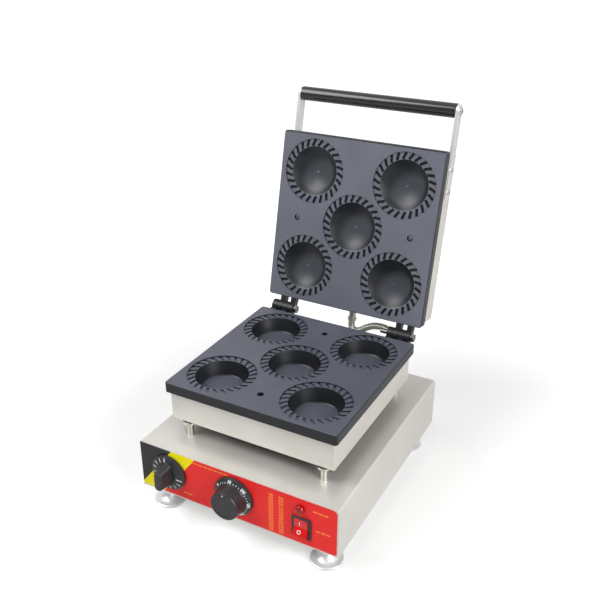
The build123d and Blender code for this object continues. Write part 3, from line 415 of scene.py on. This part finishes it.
# The finish of every slot in the record.
MATERIALS = {
    "steel_sheet": satin_steel("satin_steel"),
    # the plates' coating carries painted shade on edges, in grooves and off the face
    "plate_coating": plate_coating("plate_coating", (tint(84, 86, 98), tint(92, 94, 107)), (0, 0, 1),
                                   PLATE_TOP, 1.0, ((0, 1, 0), PLATE_FRONT, PLATE_BACK)),
    "panel_film": film_material(),
    "screw_steel": finish_material("screw_steel", tint(176, 175, 172), tint(205, 204, 201), (0.22, 0.38),
                                   metal=1.0, depth=0.05, patch=120.0),
    "foot_chrome": finish_material("foot_chrome", tint(238, 239, 241), tint(246, 247, 249), (0.26, 0.34),
                                   metal=0.65, depth=0.01, patch=30.0),
    "pad_rubber": finish_material("pad_rubber", tint(120, 120, 120), tint(140, 140, 139), (0.6, 0.8),
                                  depth=0.2, patch=80.0),
    "control_case": finish_material("control_case", tint(196, 190, 168), tint(208, 202, 182), (0.4, 0.55),
                                    patch=40.0),
    "knob_black": finish_material("knob_black", tint(38, 38, 40), tint(44, 44, 46), (0.3, 0.42),
                                  stretch=(700, 700, 700), depth=0.06, patch=60.0),
    "copper": finish_material("copper", tint(178, 116, 84), tint(204, 142, 104), (0.25, 0.4), metal=1.0,
                              patch=60.0),
    "lead_sleeve": finish_material("lead_sleeve", tint(214, 212, 202), tint(228, 226, 218), (0.7, 0.85),
                                   stretch=(1500, 1500, 1500), depth=0.5, patch=90.0),
    "lamp_red": clear_red("lamp_red", tint(150, 5, 5), tint(162, 9, 8)),
    "rocker_red": clear_red("rocker_red", tint(214, 10, 8), tint(224, 16, 12)),
    "terminal_white": finish_material("terminal_white", tint(216, 214, 206), tint(228, 226, 220), (0.35, 0.5),
                                      patch=60.0),
    "gland_black": finish_material("gland_black", tint(40, 40, 40), tint(50, 50, 50), (0.45, 0.6),
                                   stretch=(900, 900, 900), patch=80.0),
    "leg_steel": finish_material("leg_steel", tint(190, 187, 178), tint(208, 205, 198), (0.28, 0.4),
                                 metal=1.0, stretch=(900, 900, 900), depth=0.05, patch=50.0),
    "mineral_wool": finish_material("mineral_wool", tint(176, 158, 112), tint(206, 188, 138), (0.85, 1.0),
                                    stretch=(500, 500, 500), depth=0.9, patch=60.0),
    "screw_dark": finish_material("screw_dark", tint(56, 57, 62), tint(70, 71, 76), (0.3, 0.45), metal=0.6,
                                  depth=0.06, patch=120.0),
    "heater_steel": finish_material("heater_steel", tint(120, 112, 104), tint(150, 138, 124), (0.35, 0.5),
                                    metal=1.0, patch=40.0),
    "bolt_zinc": finish_material("bolt_zinc", tint(206, 206, 206), tint(226, 226, 226), (0.18, 0.3),
                                 metal=1.0, depth=0.05, patch=120.0),
    "hose_steel": finish_material("hose_steel", tint(188, 189, 183), tint(204, 205, 199), (0.36, 0.48),
                                  metal=1.0, depth=0.05, patch=80.0),
    "arm_steel": finish_material("arm_steel", tint(232, 231, 228), tint(242, 241, 238), (0.3, 0.42),
                                 metal=0.7, stretch=(1200, 60, 60), depth=0.04, patch=20.0),
    "grip_black": finish_material("grip_black", tint(26, 26, 28), tint(32, 32, 34), (0.16, 0.26),
                                  stretch=(60, 900, 900), depth=0.03, patch=20.0, coat=0.3),
}

# The finishes of two parts that differ from their slot's, and the inks of the print.
LID_SCREW = finish_material("screw_lid", tint(92, 94, 102), tint(112, 114, 122), (0.25, 0.35), metal=0.6,
                            depth=0.06, patch=120.0)
HINGE_BOLT = finish_material("hinge_bolt", tint(120, 120, 122), tint(140, 140, 142), (0.25, 0.4), metal=1.0,
                             depth=0.06, patch=120.0)
INK_WHITE = finish_material("dial_white", tint(226, 230, 238), tint(236, 239, 245), (0.4, 0.5), patch=200.0)
INK_ORANGE = finish_material("film_orange", tint(252, 134, 60), tint(255, 146, 74), (0.3, 0.4), patch=200.0,
                             specular=0.22)


def lid_coating():
    """The coating of the upper plate, paler than the lower plate's and with its painted shade, which stands
    open, with its face and its ears found along the lid.
    """
    away = radians(LID_OPEN)
    facing = Vector((0, -sin(away), -cos(away)))
    hinge_way = Vector((0, cos(away), -sin(away)))
    mesh = frame["nodes"]["upper_plate"].data
    square_on = 0.99
    faces = [face for face in mesh.polygons if face.normal.dot(facing) > square_on]
    level = facing.dot(max(faces, key=lambda face: face.area).center)
    front = min(hinge_way.dot(point.co) for point in mesh.vertices)
    ears = max(hinge_way.dot(point.co) for point in frame["nodes"]["upper_cover"].data.vertices)
    return plate_coating("plate_coating_painted_shade_lid", (tint(100, 102, 113), tint(108, 111, 122)), facing, level,
                         DOME_SHARE, (hinge_way, front + LID_RIM, ears + PAST_COVER))


def dress(mesh, material):
    """A mesh gets one material in place of those it has."""
    mesh.materials.clear()
    mesh.materials.append(material)


def dress_parts():
    """Every part gets the finish of its slot, and four parts one of their own."""
    parts = frame["nodes"]
    for part in frame["record"]["subparts"]:
        dress(parts[part["node"]].data, MATERIALS[part["material_slot"]])
    dress(parts["upper_plate"].data, lid_coating())
    dress(parts["upper_plate_screws"].data, LID_SCREW)
    dress(parts["hinge_bolts"].data, HINGE_BOLT)
    # the lower housing gets painted shade on its underside
    dress(parts["lower_housing"].data, heated_steel("heated_steel"))


# ---------------------------------------------------------------- making pieces by hand


def select_only(*pieces):
    """Object mode, with only these pieces selected and the first one active."""
    if bpy.context.mode != "OBJECT":
        bpy.ops.object.mode_set(mode="OBJECT")
    bpy.ops.object.select_all(action="DESELECT")
    for piece in pieces:
        piece.select_set(True)
    if pieces:
        bpy.context.view_layer.objects.active = pieces[0]


def settle(piece):
    """Carries a piece's place into its mesh, so that its object sits at the origin."""
    bpy.context.view_layer.update()
    piece.data.transform(piece.matrix_world)
    piece.matrix_world = Matrix.Identity(4)


def apply_all(piece):
    """Applies every modifier in order."""
    select_only(piece)
    for modifier in list(piece.modifiers):
        bpy.ops.object.modifier_apply(modifier=modifier.name)


def give(piece, name, material, body):
    """Names a finished piece and gives it its finish and its body."""
    piece.name = name
    piece.data.name = name
    dress(piece.data, material)
    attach(piece, body)


def joined(pieces):
    """Several meshes as one piece."""
    select_only(*pieces)
    if len(pieces) > 1:
        bpy.ops.object.join()
    return bpy.context.view_layer.objects.active


def word(text, size, thick, bold):
    """Raised print of a number, as a mesh that lies flat, centred on the origin and facing +Z.

    bold is how far its outline is moved outwards.
    """
    select_only()
    bpy.ops.object.text_add(location=(0, 0, 0))
    made = bpy.context.active_object
    made.data.body = text
    made.data.size = size
    made.data.align_x = "CENTER"
    made.data.align_y = "CENTER"
    made.data.extrude = thick / 2
    made.data.offset = bold
    made.data.resolution_u = ROUND_STEPS
    bpy.ops.object.convert(target="MESH")
    return bpy.context.active_object


def face_outwards():
    """Turns every face outwards, and leaves edit mode."""
    bpy.ops.mesh.select_all(action="SELECT")
    bpy.ops.mesh.normals_make_consistent(inside=False)
    bpy.ops.object.mode_set(mode="OBJECT")


def raise_print(thick):
    """Raises a flat outline by half the print's thickness, as the numbers are, and leaves edit mode."""
    bpy.ops.mesh.select_all(action="SELECT")
    bpy.ops.mesh.extrude_region_move(TRANSFORM_OT_translate={"value": (0, 0, thick / 2)})
    face_outwards()


def bar(width, height, thick, corner):
    """A flat printed bar with softened corners, centred on the origin and facing +Z."""
    select_only()
    bpy.ops.mesh.primitive_plane_add(size=1, location=(0, 0, 0))
    made = bpy.context.active_object
    made.scale = (width, height, 1)
    settle(made)
    bpy.ops.object.mode_set(mode="EDIT")
    bpy.ops.mesh.select_all(action="SELECT")
    bpy.ops.mesh.bevel(offset=corner, offset_type="OFFSET", segments=2, affect="VERTICES")
    raise_print(thick)
    return made


def ring(radius, line, thick):
    """A flat printed ring, centred on the origin and facing +Z."""
    select_only()
    bpy.ops.mesh.primitive_circle_add(vertices=RING_SIDES, radius=radius, fill_type="NGON")
    made = bpy.context.active_object
    bpy.ops.object.mode_set(mode="EDIT")
    bpy.ops.mesh.select_all(action="SELECT")
    bpy.ops.mesh.inset(thickness=line)
    bpy.ops.mesh.delete(type="FACE")
    raise_print(thick)
    return made


def stand(piece, origin, right, top):
    """Places a flat piece with its right and its top along two directions."""
    across = right.normalized()
    front = across.cross(top).normalized()
    top = front.cross(across)
    turned = Matrix((across, top, front)).transposed().to_4x4()
    piece.data.transform(Matrix.Translation(origin) @ turned)
    return piece


def on_dial(piece, centre, angle, radius, out, lean):
    """Places a flat piece on a knob's sloping skirt, at an angle clockwise from the top.

    out is how far in front of the film it lies, and lean is how far the skirt leans back.
    """
    away = Vector((sin(angle), 0, cos(angle)))
    face = away * sin(lean) + OUT * cos(lean)
    top = away * cos(lean) - OUT * sin(lean)
    place = Vector((centre.x, PANEL_Y, centre.z)) + away * radius + OUT * out + face * PRINT_LIFT
    return stand(piece, place, top.cross(face), top)


# ---------------------------------------------------------------- print on the knobs and the film


def thermostat_scale():
    """Plain numbers round the sloping skirt, with lines between them, and a mark on the cap."""
    lean = radians(36)
    first, step = radians(-56), radians(50)
    numbers, lines = 7, 5
    number_radius, number_out = 28.6 * MM, 6.9 * MM
    line_radius, line_out = 27.4 * MM, 7.8 * MM
    marks = []
    for k in range(numbers):
        number = word(str(50 * k), 6.0 * MM, PRINT, 0.16 * MM)
        marks.append(on_dial(number, THERMO, first + k * step, number_radius, number_out, lean))
        for j in range(lines if k < numbers - 1 else 0):
            line = bar(0.9 * MM, 2.4 * MM, PRINT, 0.3 * MM)
            angle = first + (k + (j + 0.5) / lines) * step
            marks.append(on_dial(line, THERMO, angle, line_radius, line_out, lean))
    give(joined(marks), "thermostat_scale", INK_WHITE, "thermostat_dial")
    tick = bar(1.6 * MM, 2.8 * MM, PRINT, 0.4 * MM)
    place = Vector((THERMO.x - 1.0 * MM, KNOB_FRONT - 0.02 * MM, THERMO.z + 19.7 * MM))
    stand(tick, place, RIGHT, UP)
    give(tick, "thermostat_pointer", INK_WHITE, "thermostat_dial")


def timer_scale():
    """Lines round the timer's skirt, longer, wider and nearer its middle at both ends of its travel.

    The skirt falls back from skirt_out, at skirt_radius, by a share of the way outwards.
    """
    lean = radians(12.7)
    skirt_radius, skirt_out, fall = 16 * MM, 7.4 * MM, 3.0 / 13.3
    first, last, lines = radians(105), radians(350), 12
    marks = []
    for k in range(lines):
        width, length, radius = (1.6, 10.5, 22.0) if k in (0, lines - 1) else (1.1, 6.5, 24.4)
        line = bar(width * MM, length * MM, PRINT, 0.4 * MM)
        angle = first + (last - first) * k / (lines - 1)
        out = skirt_out - (radius * MM - skirt_radius) * fall
        marks.append(on_dial(line, TIMER, angle, radius * MM, out, lean))
    give(joined(marks), "timer_scale", INK_WHITE, "timer_dial")


def switch_marks():
    """A line on the rocker's upper face and a ring on its lower one, made level and then tipped with it."""
    pivot = Vector((SWITCH.x, PANEL_Y + 2.2 * MM, 68.8 * MM))
    tip = Matrix.Rotation(radians(-11), 4, "X")
    rise, back = 13.5, 3.4
    line = bar(1.3 * MM, 6.0 * MM, PRINT, 0.4 * MM)
    circle = ring(3.1 * MM, 1.1 * MM, PRINT)
    for side, mark in ((1, line), (-1, circle)):
        top = Vector((0, -side * back, rise)).normalized()
        face = Vector((0, -rise, -side * back)).normalized()
        place = Vector((-1.6 * MM, -6.9 * MM, side * 6.75 * MM)) + face * PRINT_LIFT
        stand(mark, place, RIGHT, top)
        mark.data.transform(Matrix.Translation(pivot) @ tip)
    give(joined([line, circle]), "switch_marks", INK_WHITE, "rocker")


def film_print():
    """Orange print on the film: two columns of plain numbers, and rows of short bars beside the controls."""
    size, bold = 5.4 * MM, 0.2 * MM
    rows, top, low = 13, 107.5 * MM, 44.0 * MM
    marks = []
    for k in range(rows):
        z = top + (low - top) * k / (rows - 1)
        for x, number in ((62.2 * MM, 180 + 10 * k), (79.0 * MM, 360 + 18 * k)):
            marks.append(stand(word(str(number), size, FILM_INK, bold), Vector((x, PANEL_Y, z)), RIGHT, UP))
    spacing, filled = 9, 0.84
    for x0, x1, z, high in FILM_ROWS:
        count = max(2, round((x1 - x0) / spacing))
        pitch = (x1 - x0) / count
        for k in range(count):
            dash = bar(filled * pitch * MM, high * MM, FILM_INK, 0.3 * MM)
            place = Vector(((x0 + pitch * (k + 0.5)) * MM, PANEL_Y, z * MM))
            marks.append(stand(dash, place, RIGHT, UP))
    give(joined(marks), "film_print", INK_ORANGE, "base")


# ---------------------------------------------------------------- the hose


def hose_line():
    """The line of the hose, from the collar on the lid to the collar on the box, as a curve."""
    data = bpy.data.curves.new("hose_line", "CURVE")
    data.dimensions = "3D"
    line = data.splines.new("NURBS")
    line.points.add(len(HOSE_ROUTE) - 1)
    for point, place in zip(line.points, HOSE_ROUTE):
        point.co = (place[0] * MM, place[1] * MM, place[2] * MM, 1)
    line.order_u = 3
    line.use_endpoint_u = True
    line.resolution_u = HOSE_STEPS
    made = bpy.data.objects.new("hose_line", data)
    bpy.context.scene.collection.objects.link(made)
    return made


def hose_rib(pitch):
    """One rib of the hose: a short open sleeve along X that is waisted at both ends."""
    waist = HOSE_R - HOSE_GROOVE
    select_only()
    bpy.ops.mesh.primitive_circle_add(vertices=HOSE_SIDES, radius=waist, rotation=(0, radians(90), 0))
    made = bpy.context.active_object
    settle(made)
    bpy.ops.object.mode_set(mode="EDIT")
    bpy.ops.mesh.select_all(action="SELECT")
    full = HOSE_R / waist
    for step, scale in ((0.3, full), (0.4, 1.0), (0.3, 1 / full)):
        bpy.ops.mesh.extrude_region_move(TRANSFORM_OT_translate={"value": (step * pitch, 0, 0)})
        bpy.ops.transform.resize(value=(1, scale, scale), center_override=(0, 0, 0))
    face_outwards()
    return made


def lid_hose():
    """The ribbed metal hose, which bends between the lid and the base."""
    line = hose_line()
    bpy.context.view_layer.update()
    seen = line.evaluated_get(bpy.context.evaluated_depsgraph_get())
    path = [Vector(point.co) for point in bpy.data.meshes.new_from_object(seen).vertices]
    length = sum((b - a).length for a, b in zip(path, path[1:]))
    ribs = round(length / HOSE_PITCH)
    hose = hose_rib(length / ribs)
    row = hose.modifiers.new("row", "ARRAY")
    row.count = ribs
    row.use_relative_offset = False
    row.use_constant_offset = True
    row.constant_offset_displace = (length / ribs, 0, 0)
    row.use_merge_vertices = True
    row.merge_threshold = 0.05 * MM
    along = hose.modifiers.new("along", "CURVE")
    along.object = line
    apply_all(hose)
    bpy.ops.object.mode_set(mode="EDIT")
    bpy.ops.mesh.select_all(action="DESELECT")
    bpy.ops.mesh.select_non_manifold()
    bpy.ops.mesh.fill_holes(sides=0)
    face_outwards()
    bpy.ops.object.shade_smooth()
    bpy.data.objects.remove(line)
    hose.name = "lid_hose_ribbed"
    hose.data.name = "lid_hose_ribbed"
    dress(hose.data, MATERIALS["hose_steel"])
    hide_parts("lid_hose")
    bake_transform(hose)


# ---------------------------------------------------------------- camera, light, floor


def camera():
    """The view that shows the front, the right side and the open plates."""
    data = bpy.data.cameras.new("camera")
    data.sensor_width = CAMERA_SENSOR
    data.lens = CAMERA_LENS
    made = bpy.data.objects.new("camera", data)
    made.location = CAMERA_PLACE
    made.rotation_euler = Vector(CAMERA_LOOKS).to_track_quat("-Z", "Y").to_euler()
    bpy.context.scene.collection.objects.link(made)
    bpy.context.scene.camera = made


def ray_is(tree, place, *kinds):
    """One for rays of these kinds, and nought for the rest."""
    path = node(tree, "ShaderNodeLightPath", place)
    found = path.outputs[kinds[0]]
    for step, kind in enumerate(kinds[1:], 1):
        either = node(tree, "ShaderNodeMath", (place[0] + step, place[1]), operation="MAXIMUM")
        tree.links.new(found, either.inputs[0])
        tree.links.new(path.outputs[kind], either.inputs[1])
        found = either.outputs[0]
    return found


def even_light(tree, place, strength):
    """A white light from all round, at a strength."""
    made = node(tree, "ShaderNodeBackground", place)
    made.inputs["Color"].default_value = WHITE
    made.inputs["Strength"].default_value = strength
    return made


def world():
    """White behind the object, a studio that is duller towards the front in mirrors, and a soft light."""
    made = bpy.data.worlds.new("studio")
    bpy.context.scene.world = made
    made.use_nodes = True
    tree = made.node_tree
    tree.nodes.clear()
    link = tree.links.new
    soft = even_light(tree, (2, 0), SOFT_LIGHT)
    white = even_light(tree, (2, 1), 1.0)
    where = node(tree, "ShaderNodeTexCoord", (-2, -2))
    aside = node(tree, "ShaderNodeVectorMath", (-1, -2), operation="DOT_PRODUCT")
    aside.inputs[1].default_value = STUDIO_BRIGHT
    level = node(tree, "ShaderNodeMapRange", (0, -2), interpolation_type="SMOOTHSTEP")
    level.inputs["From Min"].default_value, level.inputs["From Max"].default_value = STUDIO_TURNS
    level.inputs["To Min"].default_value = STUDIO_DULL
    level.inputs["To Max"].default_value = 1.0
    mirrored = node(tree, "ShaderNodeBackground", (2, -2))
    link(where.outputs["Generated"], aside.inputs[0])
    link(aside.outputs["Value"], level.inputs["Value"])
    link(level.outputs["Result"], mirrored.inputs["Strength"])
    gloss = node(tree, "ShaderNodeMixShader", (4, 0))
    view = node(tree, "ShaderNodeMixShader", (5, 0))
    out = node(tree, "ShaderNodeOutputWorld", (6, 0))
    link(ray_is(tree, (0, 4), "Is Glossy Ray"), gloss.inputs[0])
    link(soft.outputs[0], gloss.inputs[1])
    link(mirrored.outputs[0], gloss.inputs[2])
    link(ray_is(tree, (0, 6), "Is Camera Ray", "Is Transmission Ray"), view.inputs[0])
    link(gloss.outputs[0], view.inputs[1])
    link(white.outputs[0], view.inputs[2])
    link(view.outputs[0], out.inputs[0])


def floor():
    """A pale floor that keeps the object's shadow."""
    select_only()
    bpy.ops.mesh.primitive_plane_add(size=FLOOR_SIZE, location=(0, 0, 0))
    made = bpy.context.active_object
    made.name = "floor"
    surface = finish_material("pale_floor", tint(222, 222, 222), tint(224, 224, 224), (0.9, 0.95), depth=0.0,
                              patch=0.5, specular=0.0)
    tree = surface.node_tree
    shader = tree.nodes["Principled BSDF"]
    shader.inputs["Emission Color"].default_value = WHITE
    plain = shader.inputs["Base Color"].links[0].from_socket
    colour, glow = FLOOR_MIRRORED
    mirrored = ray_is(tree, (-5, 5), "Is Glossy Ray")
    looked_at = ray_is(tree, (-5, -2), "Is Camera Ray", "Is Transmission Ray")
    shine = node(tree, "ShaderNodeMath", (-2, -3), operation="MULTIPLY")
    shine.inputs[1].default_value = glow
    where = node(tree, "ShaderNodeTexCoord", (-5, -4))
    away = node(tree, "ShaderNodeVectorMath", (-4, -4), operation="LENGTH")
    seen = node(tree, "ShaderNodeMapRange", (-3, -4), interpolation_type="SMOOTHSTEP")
    seen.inputs["From Min"].default_value, seen.inputs["From Max"].default_value = FLOOR_REACH
    seen.inputs["To Min"].default_value, seen.inputs["To Max"].default_value = FLOOR_SEEN
    lift = node(tree, "ShaderNodeMath", (-1, -2), operation="MULTIPLY_ADD")
    dull = node(tree, "ShaderNodeMix", (-1, 3), data_type="RGBA")
    dull.inputs["B"].default_value = grey(colour)
    link = tree.links.new
    link(mirrored, shine.inputs[0])
    link(where.outputs["Object"], away.inputs[0])
    link(away.outputs["Value"], seen.inputs["Value"])
    link(looked_at, lift.inputs[0])
    link(seen.outputs["Result"], lift.inputs[1])
    link(shine.outputs[0], lift.inputs[2])
    link(lift.outputs[0], shader.inputs["Emission Strength"])
    link(mirrored, dull.inputs["Factor"])
    link(plain, dull.inputs["A"])
    link(dull.outputs["Result"], shader.inputs["Base Color"])
    made.data.materials.append(surface)


def softbox(name, place, aim, size, power):
    """A square lamp that points at a place."""
    data = bpy.data.lights.new(name, "AREA")
    data.shape = "SQUARE"
    data.size = size
    data.energy = power
    made = bpy.data.objects.new(name, data)
    made.location = place
    made.rotation_euler = (Vector(aim) - Vector(place)).to_track_quat("-Z", "Y").to_euler()
    bpy.context.scene.collection.objects.link(made)


def lights():
    """A large lamp from the left and above, and another from the right, lower down."""
    softbox("key", *KEY_LAMP)
    softbox("fill", *FILL_LAMP)


# ---------------------------------------------------------------- the scene

camera()
lid_hose()
world()
floor()
lights()
dress_parts()
thermostat_scale()
timer_scale()
switch_marks()
film_print()

scene = bpy.context.scene
scene.view_settings.view_transform = "Standard"
